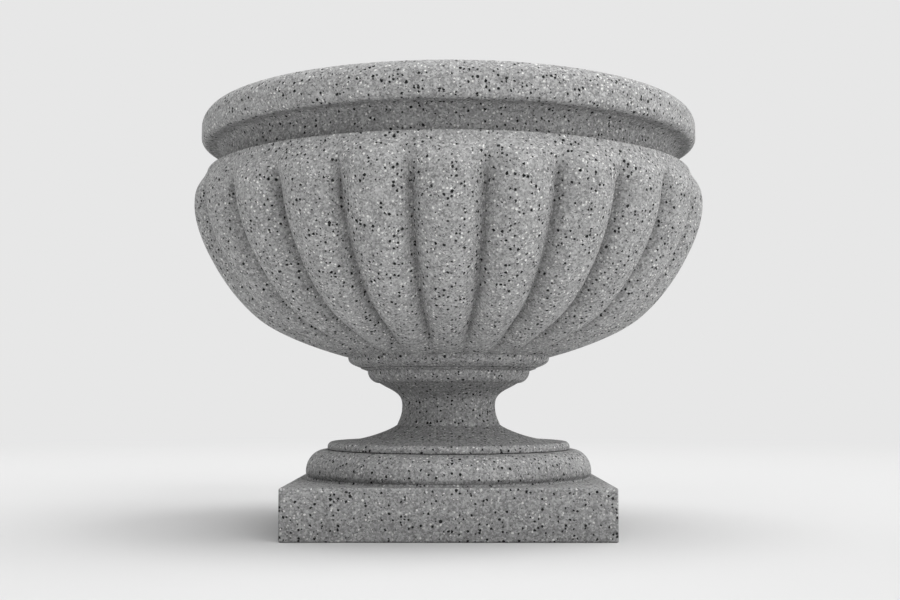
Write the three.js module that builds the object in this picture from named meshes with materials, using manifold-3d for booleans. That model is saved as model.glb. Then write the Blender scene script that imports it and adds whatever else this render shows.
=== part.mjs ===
// A footed urn planter in granite-look cast stone, in millimetres, +Z up.
// The origin is the centre of the plinth's underside, and -Y is the front.
//
// Three castings stand on each other: a square plinth with a round cushion moulding,
// a waisted socle, and a wide bowl with a ring of gadroons under a plain rim. Bedding
// rings and dowels lie in the two joints. A hollow tie tube holds the castings together
// between a flange in the bowl and two nuts under the plinth, and drains the bowl.
// A grate lies loose over the flange and lifts out by its knob.

import * as THREE from 'three';
import { mergeVertices } from 'three/addons/utils/BufferGeometryUtils.js';
import Module from 'manifold-3d';

const wasm = await Module();
wasm.setup();

// Plinth: the square slab.
const slabWidth = 390.4;
const slabHeight = 62.1;
const slabArris = 2.4;

// Plinth: the cushion moulding on the slab.
const cushionRadius = 184.9;
const cushionFootHeight = 8.7;
const cushionFootTuck = 5;
const cushionCrownHeight = 27.6;
const cushionCrownReach = 24.4;

// Plinth: the hollow underneath, with a well for the tie's nuts.
const hollowMouthRadius = 132;
const hollowTopRadius = 120;
const hollowDepth = 22;
const wellRadius = 50;
const wellHeight = 42;

// Socle: the foot's lip, the flare, the waisted stem and the collar on top.
const footRadius = 157.1;
const footLipHeight = 9.9;
const footLipRound = 6.5;
const flareDish = 2.2;
const flareReach = 25.5;
const kneeRadius = 67.1;
const kneeHeight = 21;
const kneeRunOut = 17.5;
const kneeRunDrop = 11.5;
const kneeTurnIn = 2;
const kneeTurnUp = 6.1;
const waistRadius = 60.6;
const waistHeight = 24.7;
const waistEase = 13.2;
const throatRadius = 82.5;
const throatHeight = 25;
const throatEase = 12.5;
const throatTurnOut = 5.3;
const throatTurnDrop = 8;
const socleCollarRadius = 106.9;
const socleCollarReach = 15.3;
const socleCollarTuck = 4.6;
const socleCollarRound = 16.1;
const socleCollarBand = 3.1;

// Bowl: the collar, the crest line of the gadroons, and the shoulder.
const bowlCollarRadius = 131.2;
const bowlCollarReach = 21.2;
const bowlCollarRound = 12.7;
const bowlCollarBand = 1.1;
const haunchRadius = 248.1;
const haunchHeight = 49.4;
const haunchSlope = 38;
const undersideRunOut = 34;
const undersideRise = 8.7;
const haunchEaseBelow = 35.3;
const haunchEaseAbove = 52.9;
const bowlRadius = 330.2;
const bellyHeight = 141.9;
const bellyEaseBelow = 43.8;
const bellyEaseAbove = 27.7;
const shoulderRadius = 313.8;
const shoulderHeight = 45.9;
const shoulderBulge = 4.6;
const shoulderEase = 18.7;
const shoulderArris = 1.3;

// Bowl: the neck and the rim.
const neckRadius = 294;
const neckHeight = 33.1;
const neckCove = 12;
const rimRadius = 321.8;
const rimHeight = 46.1;
const rimCrownHeight = 24.4;
const rimCrownReach = 24.3;
const rimUnderRound = 8.8;

// Bowl: the gadroons.
const gadroonCount = 24;
const gadroonDepth = 19;
const gadroonRoundness = 1.3;
const gadroonTopFade = 62;
const gadroonFootFade = 70;
const gadroonFootShare = 0.3;

// Bowl: the planting hollow, which narrows downwards so that its core could be drawn.
const mouthRadius = 262;
const mouthRound = 10;
const wallFootRadius = 256;
const wallFootDepth = 127;
const wallFootTuck = 6;
const wallFootEase = 95;
const floorRadius = 100;
const floorRunOut = 90;
const floorRise = 3;
const floorHeight = 60;
const floorFall = 2;

// Bowl: the drain sump in the floor, and the ledge that carries the grate.
const sumpRadius = 49;
const sumpDepth = 26;
const ledgeWidth = 13;
const ledgeDepth = 5;

// The two joints between the castings.
const bedThickness = 3;
const bedWidth = 24;
const bedEdge = 9;
const socleBedWidth = 56;
const dowelRadius = 5;
const dowelLength = 44;
const dowelCircle = 58;
const dowelAngles = [0, 180];

// The tie: a hollow tube with a flange above, and washers and nuts below.
const tubeRadius = 16.85;
const tubeWall = 3.25;
const tubeEnd = 4;
const tubeClearance = 1.65;
const flangeRadius = 44;
const flangeThickness = 5;
const hubFlats = 46;
const hubHeight = 6;
const gasketThickness = 3;
const washerRadius = 43;
const washerThickness = 5;
const nutFlats = 46;
const nutThickness = 13;
const lockNutThickness = 8;

// The grate and its knob.
const grateThickness = 4;
const grateSlots = 12;
const grateSlotWidth = 5;
const grateSlotInner = 18;
const grateSlotOuter = 52;
const studRadius = 3;
const studLength = 10;
const knobRadius = 10;
const knobHeight = 16;
const knobNutFlats = 10;
const knobNutThickness = 5;

// Clearances: between pieces that rest on each other, and round pins and threads.
const seatGap = 0.2;
const pinGap = 0.3;
const grateGap = 0.6;

// Facets round a full turn.
const bodyFacets = gadroonCount * 6;
const rimFacets = 60;
const castingFacets = 40;
const hardwareFacets = 20;
const pinFacets = 12;

// Heights of the seats above the floor.
const plinthTop = slabHeight + cushionFootHeight + cushionCrownHeight;
const socleBase = plinthTop + 2 * seatGap;
const lipTop = footLipHeight;
const kneeZ = lipTop + kneeHeight;
const waistZ = kneeZ + waistHeight;
const throatZ = waistZ + throatHeight;
const socleTop = throatZ + socleCollarTuck + socleCollarRound + socleCollarBand;
const bowlBase = socleBase + socleTop + 2 * seatGap;

// Heights above the bowl's underside.
const bowlCollarTop = bowlCollarRound + bowlCollarBand;
const haunchZ = bowlCollarTop + haunchHeight;
const bellyZ = haunchZ + bellyHeight;
const shoulderTop = bellyZ + shoulderHeight;
const neckTop = shoulderTop + neckHeight;
const rimTop = neckTop + rimHeight;
const ledgeZ = floorHeight - floorFall - ledgeDepth;
const sumpFloor = ledgeZ - sumpDepth;

// Bores that the tie tube passes, and holes for the dowels.
const boreRadius = tubeRadius + tubeClearance;
const threadRadius = tubeRadius + pinGap;
const dowelHoleRadius = dowelRadius + pinGap;
const dowelHoleDepth = dowelLength / 2 + pinGap;
const grateRecessRadius = sumpRadius + ledgeWidth;
const cut = 1;

const stone = () => new THREE.MeshStandardMaterial({ color: 0x8c8d8e, roughness: 0.85, metalness: 0 });
const rubber = () => new THREE.MeshStandardMaterial({ color: 0x242424, roughness: 0.8, metalness: 0 });
const steel = () => new THREE.MeshStandardMaterial({ color: 0xb9bcc0, roughness: 0.35, metalness: 1 });

const point = (radius, height) => new THREE.Vector2(radius, height);

// An outline as points, without the doubles where one stretch starts on another's end.
function outlinePoints(path, divisions) {
  const least = 0.05;
  return path.getPoints(divisions).filter((p, i, all) => i === 0 || p.distanceTo(all[i - 1]) > least);
}

// Turns an outline of radii and heights about the Z axis.
function turned(points, facets) {
  return new THREE.LatheGeometry(points, facets).rotateX(Math.PI / 2);
}

// A flat shape raised along +Z from a height.
function raised(shape, height, base = 0, facets = hardwareFacets) {
  const settings = { depth: height, bevelEnabled: false, curveSegments: facets };
  return new THREE.ExtrudeGeometry(shape, settings).translate(0, 0, base);
}

// A geometry as a solid for cutting and joining, without its faces of no area.
function solidOf(geometry) {
  const bare = geometry.clone();
  bare.deleteAttribute('normal');
  bare.deleteAttribute('uv');
  const merged = mergeVertices(bare);
  const corners = [];
  for (let i = 0; i < merged.index.count; i += 3) {
    const [a, b, c] = [0, 1, 2].map((k) => merged.index.getX(i + k));
    if (a !== b && b !== c && c !== a) corners.push(a, b, c);
  }
  const vertProperties = new Float32Array(merged.attributes.position.array);
  const triVerts = new Uint32Array(corners);
  return new wasm.Manifold(new wasm.Mesh({ numProp: 3, vertProperties, triVerts }));
}

function geometryOf(solid) {
  const mesh = solid.getMesh();
  const geometry = new THREE.BufferGeometry();
  geometry.setAttribute('position', new THREE.BufferAttribute(mesh.vertProperties, 3));
  geometry.setIndex(new THREE.BufferAttribute(mesh.triVerts, 1));
  return geometry;
}

const joined = (geometries) => geometries.map(solidOf).reduce((whole, next) => whole.add(next));

function carved(bodies, cutters) {
  return geometryOf(cutters.map(solidOf).reduce((whole, cutter) => whole.subtract(cutter), joined(bodies)));
}

function part(name, geometry, material, height = 0) {
  const mesh = new THREE.Mesh(geometry, material);
  mesh.name = name;
  mesh.position.z = height;
  return mesh;
}

// A flat ring, such as a washer or a bedding ring, with its underside at 0.
function ring(inner, outer, height, facets = hardwareFacets) {
  const corners = [point(inner, 0), point(outer, 0), point(outer, height), point(inner, height)];
  return turned([...corners, corners[0]], facets);
}

// A round plug of material about the Z axis, such as a bore's cutter.
function plug(radius, from, to, facets = hardwareFacets) {
  return turned([point(0, from), point(radius, from), point(radius, to), point(0, to)], facets);
}

function hexagon(flats) {
  const centre = point(0, 0);
  const corner = point(flats / Math.sqrt(3), 0);
  const corners = Array.from({ length: 6 }, (_, k) => corner.clone().rotateAround(centre, (k * Math.PI) / 3));
  return new THREE.Shape(corners);
}

function nut(flats, thickness, hole, facets = hardwareFacets) {
  const shape = hexagon(flats);
  shape.holes.push(new THREE.Path().absarc(0, 0, hole, 0, 2 * Math.PI, true));
  return raised(shape, thickness, 0, facets);
}

// Dowel-sized cylinders on the dowel circle, as pins or as cutters.
function dowelAt(angle, radius, from, to) {
  const centre = point(dowelCircle, 0).rotateAround(point(0, 0), THREE.MathUtils.degToRad(angle));
  return plug(radius, from, to, pinFacets).translate(centre.x, centre.y, 0);
}

const dowelHoles = (from, to) => dowelAngles.map((angle) => dowelAt(angle, dowelHoleRadius, from, to));

// The groove that a bedding ring lies in, sunk into a casting's top face.
function bedGroove(outer, width, top) {
  return ring(outer - width - pinGap, outer + pinGap, bedThickness + cut, castingFacets)
    .translate(0, 0, top - bedThickness);
}

function bedRing(outer, width) {
  return ring(outer - width, outer, bedThickness, castingFacets);
}

// Plinth ------------------------------------------------------------------------------

function slab() {
  const half = slabWidth / 2 - slabArris;
  const corners = [point(-half, -half), point(half, -half), point(half, half), point(-half, half)];
  const square = new THREE.Shape(corners);
  const settings = {
    depth: slabHeight - 2 * slabArris,
    bevelThickness: slabArris,
    bevelSize: slabArris,
    bevelSegments: 2,
  };
  return new THREE.ExtrudeGeometry(square, settings).translate(0, 0, slabArris);
}

function cushion() {
  const root = slabHeight / 2;
  const widest = slabHeight + cushionFootHeight;
  const crownCentre = cushionRadius - cushionCrownReach;
  const path = new THREE.Path();
  path.moveTo(0, root);
  path.lineTo(cushionRadius - cushionFootTuck, root);
  path.lineTo(cushionRadius - cushionFootTuck, slabHeight);
  path.quadraticCurveTo(cushionRadius, slabHeight, cushionRadius, widest);
  path.absellipse(crownCentre, widest, cushionCrownReach, cushionCrownHeight, 0, Math.PI / 2);
  path.lineTo(0, plinthTop);
  return turned(outlinePoints(path, 4), castingFacets);
}

function plinthHollow() {
  const corners = [
    point(0, -cut),
    point(hollowMouthRadius, -cut),
    point(hollowMouthRadius, 0),
    point(hollowTopRadius, hollowDepth),
    point(wellRadius, hollowDepth),
    point(wellRadius, wellHeight),
    point(boreRadius, wellHeight),
    point(boreRadius, plinthTop + cut),
    point(0, plinthTop + cut),
  ];
  return turned(corners, castingFacets);
}

const socleBedRadius = footRadius - bedEdge;

function plinth() {
  const holes = dowelHoles(plinthTop - dowelHoleDepth, plinthTop + cut);
  const groove = bedGroove(socleBedRadius, socleBedWidth, plinthTop);
  return carved([slab(), cushion()], [plinthHollow(), groove, ...holes]);
}

// Socle -------------------------------------------------------------------------------

function socleOutline() {
  const collarCentre = socleCollarRadius - socleCollarReach;
  const collarFoot = throatZ + socleCollarTuck;
  const collarWidest = collarFoot + socleCollarRound;
  const path = new THREE.Path();
  path.moveTo(0, 0);
  path.lineTo(footRadius, 0);
  path.absarc(footRadius - footLipRound, lipTop - footLipRound, footLipRound, 0, Math.PI / 2);
  path.bezierCurveTo(
    footRadius - footLipRound - flareReach, lipTop - flareDish,
    kneeRadius + kneeRunOut, kneeZ - kneeRunDrop,
    kneeRadius, kneeZ,
  );
  path.bezierCurveTo(
    kneeRadius - kneeTurnIn, kneeZ + kneeTurnUp,
    waistRadius, waistZ - waistEase,
    waistRadius, waistZ,
  );
  path.bezierCurveTo(
    waistRadius, waistZ + throatEase,
    waistRadius + throatTurnOut, throatZ - throatTurnDrop,
    throatRadius, throatZ,
  );
  path.lineTo(collarCentre, collarFoot);
  path.absellipse(collarCentre, collarWidest, socleCollarReach, socleCollarRound, -Math.PI / 2, 0);
  path.lineTo(socleCollarRadius, socleTop);
  path.lineTo(0, socleTop);
  return outlinePoints(path, 3);
}

const bowlBedRadius = socleCollarRadius - bedEdge;

function socle() {
  const bore = plug(boreRadius, -cut, socleTop + cut, castingFacets);
  const groove = bedGroove(bowlBedRadius, bedWidth, socleTop);
  const lower = dowelHoles(-cut, dowelHoleDepth);
  const upper = dowelHoles(socleTop - dowelHoleDepth, socleTop + cut);
  return carved([turned(socleOutline(), castingFacets)], [bore, groove, ...lower, ...upper]);
}

// Bowl --------------------------------------------------------------------------------

// The crest line of the gadroons, from the collar's underside to the shoulder's top.
function crestPath() {
  const slope = THREE.MathUtils.degToRad(haunchSlope);
  const along = (reach) => point(haunchRadius + reach * Math.cos(slope), haunchZ + reach * Math.sin(slope));
  const [below, above] = [along(-haunchEaseBelow), along(haunchEaseAbove)];
  const collarCentre = bowlCollarRadius - bowlCollarReach;
  const path = new THREE.Path();
  path.moveTo(0, 0);
  path.lineTo(collarCentre, 0);
  path.absellipse(collarCentre, bowlCollarRound, bowlCollarReach, bowlCollarRound, -Math.PI / 2, 0);
  path.lineTo(bowlCollarRadius, bowlCollarTop);
  path.bezierCurveTo(
    bowlCollarRadius + undersideRunOut, bowlCollarTop + undersideRise,
    below.x, below.y,
    haunchRadius, haunchZ,
  );
  path.bezierCurveTo(above.x, above.y, bowlRadius, bellyZ - bellyEaseBelow, bowlRadius, bellyZ);
  path.bezierCurveTo(
    bowlRadius, bellyZ + bellyEaseAbove,
    shoulderRadius + shoulderBulge, shoulderTop - shoulderEase,
    shoulderRadius, shoulderTop - shoulderArris,
  );
  path.lineTo(shoulderRadius - shoulderArris, shoulderTop);
  path.lineTo(0, shoulderTop);
  return path;
}

// How far a gadroon's side lies under its crest, from 0 on the crest to 1 in the groove.
// Each gadroon is an arc of a circle across its width.
function gadroonSection(turn) {
  const position = (turn * gadroonCount) / (2 * Math.PI);
  const across = 2 * Math.abs(position - Math.round(position));
  const rise = (u) => Math.sqrt(gadroonRoundness ** 2 - u * u);
  return (gadroonRoundness - rise(across)) / (gadroonRoundness - rise(1));
}

// The gadroons deepen below the smooth shoulder and run out above the collar.
function gadroonDepthAt(p, outward) {
  if (p.y <= bowlCollarTop || outward.x <= 0) return 0;
  const fromTop = point(shoulderRadius, shoulderTop).distanceTo(p);
  const fromFoot = p.x - bowlCollarRadius;
  const top = THREE.MathUtils.smoothstep(fromTop, 0, gadroonTopFade);
  const foot = THREE.MathUtils.smoothstep(fromFoot, 0, gadroonFootFade);
  return gadroonDepth * top * (p.x / bowlRadius) * THREE.MathUtils.lerp(gadroonFootShare, 1, foot);
}

function gadroonedBody() {
  const points = outlinePoints(crestPath(), 3);
  const geometry = new THREE.LatheGeometry(points, bodyFacets);
  const place = geometry.attributes.position;
  points.forEach((p, j) => {
    const [before, after] = [points[j - 1] ?? p, points[j + 1] ?? p];
    const along = after.clone().sub(before).normalize();
    const outward = point(along.y, -along.x);
    const depth = gadroonDepthAt(p, outward);
    for (let i = 0; i <= bodyFacets; i += 1) {
      const turn = (2 * Math.PI * i) / bodyFacets;
      const inset = depth * gadroonSection(turn);
      const radius = p.x - inset * outward.x;
      const height = p.y - inset * outward.y;
      place.setXYZ(i * points.length + j, radius * Math.sin(turn), height, radius * Math.cos(turn));
    }
  });
  return geometry.rotateX(Math.PI / 2);
}

function neckAndRim() {
  const root = bellyZ;
  const crownZ = rimTop - rimCrownHeight;
  const path = new THREE.Path();
  path.moveTo(0, root);
  path.lineTo(neckRadius, root);
  path.lineTo(neckRadius, neckTop - neckCove);
  path.quadraticCurveTo(neckRadius, neckTop, neckRadius + neckCove, neckTop);
  path.absarc(rimRadius - rimUnderRound, neckTop + rimUnderRound, rimUnderRound, -Math.PI / 2, 0);
  path.absellipse(rimRadius - rimCrownReach, crownZ, rimCrownReach, rimCrownHeight, 0, Math.PI / 2);
  path.lineTo(0, rimTop);
  return turned(outlinePoints(path, 2), rimFacets);
}

// The planting hollow with the sump, the grate's ledge and the tie's bore below it.
function bowlHollow() {
  const wallFootZ = rimTop - wallFootDepth;
  const path = new THREE.Path();
  path.moveTo(0, -cut);
  path.lineTo(boreRadius, -cut);
  path.lineTo(boreRadius, sumpFloor);
  path.lineTo(sumpRadius, sumpFloor);
  path.lineTo(sumpRadius, ledgeZ);
  path.lineTo(grateRecessRadius, ledgeZ);
  path.lineTo(grateRecessRadius, ledgeZ + ledgeDepth);
  path.lineTo(floorRadius, floorHeight);
  path.bezierCurveTo(
    floorRadius + floorRunOut, floorHeight + floorRise,
    wallFootRadius - wallFootTuck, wallFootZ - wallFootEase,
    wallFootRadius, wallFootZ,
  );
  path.lineTo(mouthRadius, rimTop - mouthRound);
  path.quadraticCurveTo(mouthRadius, rimTop, mouthRadius + mouthRound, rimTop);
  path.lineTo(mouthRadius + mouthRound, rimTop + cut);
  path.lineTo(0, rimTop + cut);
  return turned(outlinePoints(path, 4), castingFacets);
}

function bowl() {
  return carved([gadroonedBody(), neckAndRim()], [bowlHollow(), ...dowelHoles(-cut, dowelHoleDepth)]);
}

// Drain and tie -----------------------------------------------------------------------

function drainFlange() {
  const plate = plug(flangeRadius, 0, flangeThickness);
  const hub = raised(hexagon(hubFlats), hubHeight + flangeThickness / 2, flangeThickness / 2);
  return carved([plate, hub], [plug(threadRadius, -cut, flangeThickness + hubHeight + cut)]);
}

function drainGrate() {
  const radius = grateRecessRadius - grateGap;
  const slotLength = grateSlotOuter - grateSlotInner;
  const slots = Array.from({ length: grateSlots }, (_, k) =>
    new THREE.BoxGeometry(slotLength, grateSlotWidth, grateThickness + 2 * cut)
      .translate(grateSlotInner + slotLength / 2, 0, grateThickness / 2)
      .rotateZ((2 * Math.PI * k) / grateSlots));
  const hole = plug(studRadius + pinGap, -cut, grateThickness + cut, pinFacets);
  return carved([plug(radius, 0, grateThickness, castingFacets)], [hole, ...slots]);
}

// A mushroom knob on a stud that hangs below 0, where the knob sits on the grate.
function grateKnob() {
  const stem = knobRadius / 2;
  const path = new THREE.Path();
  path.moveTo(0, -studLength);
  path.lineTo(studRadius, -studLength);
  path.lineTo(studRadius, 0);
  path.lineTo(stem, 0);
  path.lineTo(stem, knobHeight / 2);
  path.lineTo(knobRadius, knobHeight / 2);
  path.absellipse(0, knobHeight / 2, knobRadius, knobHeight / 2, 0, Math.PI / 2);
  return turned(outlinePoints(path, 4), hardwareFacets);
}

// The whole urn: the castings on their seats, then what lies in and through them.
const bedZ = seatGap - bedThickness;
const dowelZ = -dowelLength / 2 + seatGap;
const clampGasketZ = wellHeight - seatGap - gasketThickness;
const washerZ = clampGasketZ - seatGap - washerThickness;
const clampNutZ = washerZ - seatGap - nutThickness;
const lockNutZ = clampNutZ - seatGap - lockNutThickness;
const tubeBottom = lockNutZ - tubeEnd;
const gasketZ = bowlBase + sumpFloor + seatGap;
const flangeZ = gasketZ + gasketThickness + seatGap;
const tubeTop = flangeZ + flangeThickness + hubHeight;
const grateZ = bowlBase + ledgeZ + pinGap;
const knobZ = grateZ + grateThickness + seatGap;
const knobNutZ = grateZ - seatGap - knobNutThickness;

const urn = new THREE.Group();

urn.add(part('plinth', plinth(), stone()));
urn.add(part('socle_bed_ring', bedRing(socleBedRadius, socleBedWidth), rubber(), plinthTop + bedZ));
urn.add(part('socle', socle(), stone(), socleBase));
urn.add(part('bowl_bed_ring', bedRing(bowlBedRadius, bedWidth), rubber(), socleBase + socleTop + bedZ));
urn.add(part('bowl', bowl(), stone(), bowlBase));

dowelAngles.forEach((angle, k) => {
  const pin = () => dowelAt(angle, dowelRadius, 0, dowelLength);
  urn.add(part(`socle_dowel_${k + 1}`, pin(), steel(), plinthTop + dowelZ));
  urn.add(part(`bowl_dowel_${k + 1}`, pin(), steel(), socleBase + socleTop + dowelZ));
});

const tie = new THREE.Group();
const tube = ring(tubeRadius - tubeWall, tubeRadius, tubeTop - tubeBottom);
tie.add(part('drain_tube', tube, steel(), tubeBottom));
tie.add(part('flange_gasket', ring(boreRadius, flangeRadius, gasketThickness), rubber(), gasketZ));
tie.add(part('drain_flange', drainFlange(), steel(), flangeZ));
tie.add(part('clamp_gasket', ring(boreRadius, washerRadius, gasketThickness), rubber(), clampGasketZ));
tie.add(part('clamp_washer', ring(threadRadius, washerRadius, washerThickness), steel(), washerZ));
tie.add(part('clamp_nut', nut(nutFlats, nutThickness, threadRadius), steel(), clampNutZ));
tie.add(part('lock_nut', nut(nutFlats, lockNutThickness, threadRadius), steel(), lockNutZ));
urn.add(tie);

const liftOut = new THREE.Group();
const knobNutHole = studRadius + pinGap;
liftOut.add(part('drain_grate', drainGrate(), steel(), grateZ));
liftOut.add(part('grate_knob', grateKnob(), steel(), knobZ));
liftOut.add(part('knob_nut', nut(knobNutFlats, knobNutThickness, knobNutHole, pinFacets), steel(), knobNutZ));
urn.add(liftOut);

export default urn;
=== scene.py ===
"""A footed urn planter in granite-look cast stone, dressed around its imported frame.

Every length is in metres and every outline is drawn as radii and heights above the floor.
The three castings are spun from their outlines and the gadroons are pressed into the bowl.
"""

import math

import bmesh
import bpy
from bpy.props import FloatProperty, FloatVectorProperty, IntProperty, PointerProperty
from mathutils import Matrix, Vector
from mathutils.geometry import interpolate_bezier


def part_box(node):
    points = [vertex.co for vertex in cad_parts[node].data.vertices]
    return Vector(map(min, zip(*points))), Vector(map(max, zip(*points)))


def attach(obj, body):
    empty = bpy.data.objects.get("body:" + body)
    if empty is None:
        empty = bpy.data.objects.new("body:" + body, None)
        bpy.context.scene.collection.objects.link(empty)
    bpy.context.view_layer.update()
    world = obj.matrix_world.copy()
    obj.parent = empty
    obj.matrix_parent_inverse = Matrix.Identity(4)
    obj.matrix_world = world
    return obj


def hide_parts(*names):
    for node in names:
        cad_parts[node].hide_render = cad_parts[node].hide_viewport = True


bl_info = {
    "name": "Urn Planter",
    "version": (1, 0, 0),
    "blender": (4, 5, 0),
    "location": "3D View > Sidebar > Urn",
    "description": "Builds a gadrooned cast-stone urn on its plinth, with its drain and tie",
    "category": "Add Mesh",
}

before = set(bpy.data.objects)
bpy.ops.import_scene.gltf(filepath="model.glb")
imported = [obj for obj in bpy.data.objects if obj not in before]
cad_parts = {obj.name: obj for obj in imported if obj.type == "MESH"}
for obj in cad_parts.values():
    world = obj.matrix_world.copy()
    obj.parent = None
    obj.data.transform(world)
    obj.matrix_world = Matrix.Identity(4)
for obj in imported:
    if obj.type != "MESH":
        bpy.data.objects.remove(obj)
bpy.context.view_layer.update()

MM = 0.001
FULL_TURN = 2 * math.pi

# A cubic curve whose handles reach this far along its sides draws a quarter of an ellipse.
QUARTER_REACH = 0.5523

# Outline steps along one curve, and spin steps round the axis.
CURVE_STEPS = 14
ROUND_STEPS = 10
SMALL_ROUND_STEPS = 6
GADROON_STEPS = 24
CASTING_STEPS = 192
HARDWARE_STEPS = 72
HOLE_STEPS = 24
FLOOR_STEPS = 64
SECTORS = 12

# Segments of an edge's rounding: on turned pieces, and on the slab, where it is larger.
ARRIS_SEGMENTS = 3
SLAB_ARRIS_SEGMENTS = 5

# A drawn line turns by more than this at a corner that is softened, and two faces meet at more
# than the second angle where the shading breaks.
CORNER_ANGLE = math.radians(20)
SHARP_ANGLE = math.radians(40)

# How far from the urn a lamp's object is put; its light comes from far beyond.
LAMP_DISTANCE = 3.0

# How far a cutter runs past the face that it cuts, and the gaps that the fixed parts keep.
OVERCUT = 1 * MM
SEAT_GAP = 0.2 * MM
FIT_GAP = 0.3 * MM
BORE_GAP = 1.65 * MM

# Points closer than this are one point: where a spin comes round, and where a cut left two.
WELD_GAP = 0.01 * MM
MERGE_GAP = 0.003 * MM

# Rounding of the castings' turned edges.
CASTING_ARRIS = 0.7 * MM

# A nut's corners are turned off from inside its flats, at a slope, as shares of the corner's reach.
CORNER_TURN = 0.4
CORNER_SLOPE = 0.7

# The soft edge of a grain in the stone.
GRAIN_EDGE = 0.35 * MM

# The layers of grains are drawn apart, in millimetres, so that no grain falls on another's cell.
SPECK_SHIFT = 31.0
LIGHT_SHIFT = 67.0
SHIFT_WAY = Vector((1.0, 0.7, 1.3))

# The palest black grain and the dullest white grain, as multiples of their full colours.
DARK_PALEST = 3.0
LIGHT_DULLEST = 0.8

# A wave texture of scale 1 repeats after this length.
WAVE_PERIOD = math.pi / 10

# Satin steel: the turning lines, drawn coarser than real ones so that they show, and the
# smudges that change its roughness.
TURNING_LINE = 0.52 * MM
TURNING_DEPTH = 0.02 * MM
SMUDGE_SIZE = 12.5 * MM
STEEL_SMOOTHEST, STEEL_ROUGHEST = 0.26, 0.44

# Rubber sheet: the dust on it and the depth of its skin.
RUBBER_DUST_SIZE = 3.3 * MM
RUBBER_SKIN_DEPTH = 0.08 * MM


def low(node):
    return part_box(node)[0]


def high(node):
    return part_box(node)[1]


def width(node):
    return high(node).x - low(node).x


# Settings ------------------------------------------------------------------------------


def srgb(text):
    """A hex colour as linear red, green and blue."""
    channels = [int(text[i : i + 2], 16) / 255 for i in (1, 3, 5)]
    return tuple(c / 12.92 if c <= 0.04045 else ((c + 0.055) / 1.055) ** 2.4 for c in channels)


def length(name, description, default):
    return FloatProperty(
        name=name, description=description, default=default, min=0.0, unit="LENGTH"
    )


def factor(name, description, default):
    return FloatProperty(
        name=name, description=description, default=default, min=0.0, subtype="FACTOR"
    )


def angle(name, description, default):
    """An angle, with its default in degrees."""
    return FloatProperty(
        name=name, description=description, default=math.radians(default), subtype="ANGLE"
    )


def colour(name, description, default):
    """A colour, with its default as sRGB hex."""
    return FloatVectorProperty(
        name=name,
        description=description,
        default=srgb(default),
        subtype="COLOR",
        min=0.0,
        max=1.0,
    )


class PlinthSettings(bpy.types.PropertyGroup):
    """The square slab and the cushion moulding on it."""

    slab_width: length("Slab width", "Side of the square slab", width("plinth"))
    slab_height: length("Slab height", "Height of the square slab", 62.1 * MM)
    slab_arris: length("Slab arris", "Rounding of the slab's edges", 2.4 * MM)
    cushion_radius: length("Cushion radius", "Widest radius of the cushion", 184.9 * MM)
    cushion_foot: length("Cushion foot", "Height from the slab to the widest line", 8.7 * MM)
    cushion_tuck: length("Cushion tuck", "How far the cushion draws in at the slab", 2.6 * MM)
    cushion_cove: length("Cushion cove", "Radius of the cove at the cushion's foot", 2.6 * MM)
    cove_bite: length("Cove bite", "How far the cove starts under the slab's face", 0.3 * MM)
    crown_height: length("Crown height", "Height of the cushion's rounded top", 27.6 * MM)
    crown_reach: length("Crown reach", "Reach of the cushion's rounded top", 24.4 * MM)
    hollow_mouth: length("Hollow mouth", "Radius of the hollow at the floor", 132 * MM)
    hollow_top: length("Hollow top", "Radius of the hollow at its top", 120 * MM)
    hollow_depth: length("Hollow depth", "Depth of the hollow", 22 * MM)
    well_radius: length("Well radius", "Radius of the well for the nuts", 50 * MM)
    well_height: length("Well height", "Height of the well's ceiling", 42 * MM)


class SocleSettings(bpy.types.PropertyGroup):
    """The foot's lip, the flare, the waisted stem and the collar."""

    lip_height: length("Lip height", "Height of the foot's lip", 9.9 * MM)
    lip_round: length("Lip round", "Rounding of the lip's upper edge", 6.5 * MM)
    lip_under: length("Lip under", "Rounding of the lip's lower edge", 1.2 * MM)
    knee_radius: length("Knee radius", "Radius where the flare turns up", 67.1 * MM)
    knee_height: length("Knee height", "Rise from the lip to the knee", 21 * MM)
    waist_radius: length("Waist radius", "Narrowest radius of the stem", 60.6 * MM)
    waist_height: length("Waist height", "Rise from the knee to the waist", 24.7 * MM)
    throat_radius: length("Throat radius", "Radius under the collar", 82.5 * MM)
    throat_height: length("Throat height", "Rise from the waist to the throat", 25 * MM)
    collar_radius: length("Collar radius", "Radius of the socle's collar", 105.8 * MM)
    collar_reach: length("Collar reach", "Reach of the collar's rounded underside", 15.3 * MM)
    collar_tuck: length("Collar tuck", "Rise from the throat to the collar", 4.6 * MM)
    collar_round: length("Collar round", "Height of the collar's rounded underside", 16.1 * MM)
    splay_reach: length("Splay reach", "How far the collar splays out to meet the bowl", 8.7 * MM)
    splay_height: length("Splay height", "Height of that splay", 3.6 * MM)
    flare_run: length("Flare run", "How far the flare runs level from the lip", 25.5 * MM)
    flare_fall: length("Flare fall", "How far the flare dips behind the lip", 2.2 * MM)
    knee_run: length("Knee run", "How far out the flare starts its rise to the knee", 17.5 * MM)
    knee_drop: length("Knee drop", "How far below the knee that rise starts", 11.5 * MM)
    knee_turn_in: length("Knee turn in", "How far the stem leans in above the knee", 2 * MM)
    knee_turn_up: length("Knee turn up", "Height of that lean", 6.1 * MM)
    waist_ease: length("Waist ease", "Upright stretch under the waist", 13.2 * MM)
    throat_ease: length("Throat ease", "Upright stretch over the waist", 12.5 * MM)
    throat_turn_out: length("Throat turn out", "How far the stem swells under the throat", 5.3 * MM)
    throat_turn_drop: length("Throat turn drop", "How far down that swell is", 8 * MM)


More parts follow.
